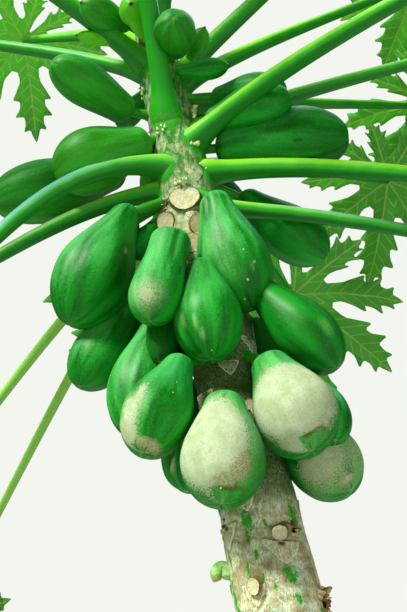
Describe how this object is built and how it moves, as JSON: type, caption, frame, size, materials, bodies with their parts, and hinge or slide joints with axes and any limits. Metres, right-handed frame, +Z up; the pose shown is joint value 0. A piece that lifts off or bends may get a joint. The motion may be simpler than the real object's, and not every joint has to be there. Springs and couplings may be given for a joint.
{
  "type": "papaya tree",
  "caption": "Leaning papaya tree in fruit: a bare ringed stem with green fruit crowded under a crown of long-stalked lobed leaves.",
  "frame": {"origin": "middle of the flat cut under the stem, at ground level", "axes": "+Z up, -Y towards the side the picture was taken from, and the stem leans towards -X"},
  "size_m": [2.2323, 2.08, 4.02],
  "materials": {
    "bark": "matt, cream-grey bark mottled with green, with leaf scars",
    "leaf_stalk": "smooth waxy green stalk",
    "leaf_blade": "soft green leaf with pale veins",
    "fruit_skin": "satin green skin with cream scurf"
  },
  "bodies": {
    "root": {"trunk": "bark", "stalk_01": "leaf_stalk", "stalk_02": "leaf_stalk", "stalk_03": "leaf_stalk", "stalk_04": "leaf_stalk", "stalk_05": "leaf_stalk", "stalk_06": "leaf_stalk", "stalk_07": "leaf_stalk", "stalk_08": "leaf_stalk", "stalk_09": "leaf_stalk", "stalk_10": "leaf_stalk", "stalk_11": "leaf_stalk", "stalk_12": "leaf_stalk", "stalk_13": "leaf_stalk", "stalk_14": "leaf_stalk", "stalk_15": "leaf_stalk", "stalk_16": "leaf_stalk", "stalk_17": "leaf_stalk", "stalk_18": "leaf_stalk", "stalk_19": "leaf_stalk", "blade_01": "leaf_blade", "blade_02": "leaf_blade", "blade_03": "leaf_blade", "blade_04": "leaf_blade", "blade_05": "leaf_blade", "blade_06": "leaf_blade", "blade_07": "leaf_blade", "blade_08": "leaf_blade", "blade_09": "leaf_blade", "blade_10": "leaf_blade", "blade_11": "leaf_blade", "blade_12": "leaf_blade", "blade_13": "leaf_blade", "blade_14": "leaf_blade", "blade_15": "leaf_blade", "blade_16": "leaf_blade", "blade_17": "leaf_blade", "blade_18": "leaf_blade", "blade_19": "leaf_blade", "young_leaves": "leaf_blade", "fruit_01": "fruit_skin", "fruit_02": "fruit_skin", "fruit_03": "fruit_skin", "fruit_04": "fruit_skin", "fruit_05": "fruit_skin", "fruit_06": "fruit_skin", "fruit_07": "fruit_skin", "fruit_08": "fruit_skin", "fruit_09": "fruit_skin", "fruit_10": "fruit_skin", "fruit_11": "fruit_skin", "fruit_12": "fruit_skin", "fruit_13": "fruit_skin", "fruit_14": "fruit_skin", "fruit_15": "fruit_skin", "fruit_16": "fruit_skin", "fruit_17": "fruit_skin", "fruit_young": "fruit_skin", "fruit_back_left": "fruit_skin", "fruit_back_right": "fruit_skin"}
  },
  "joints": []
}
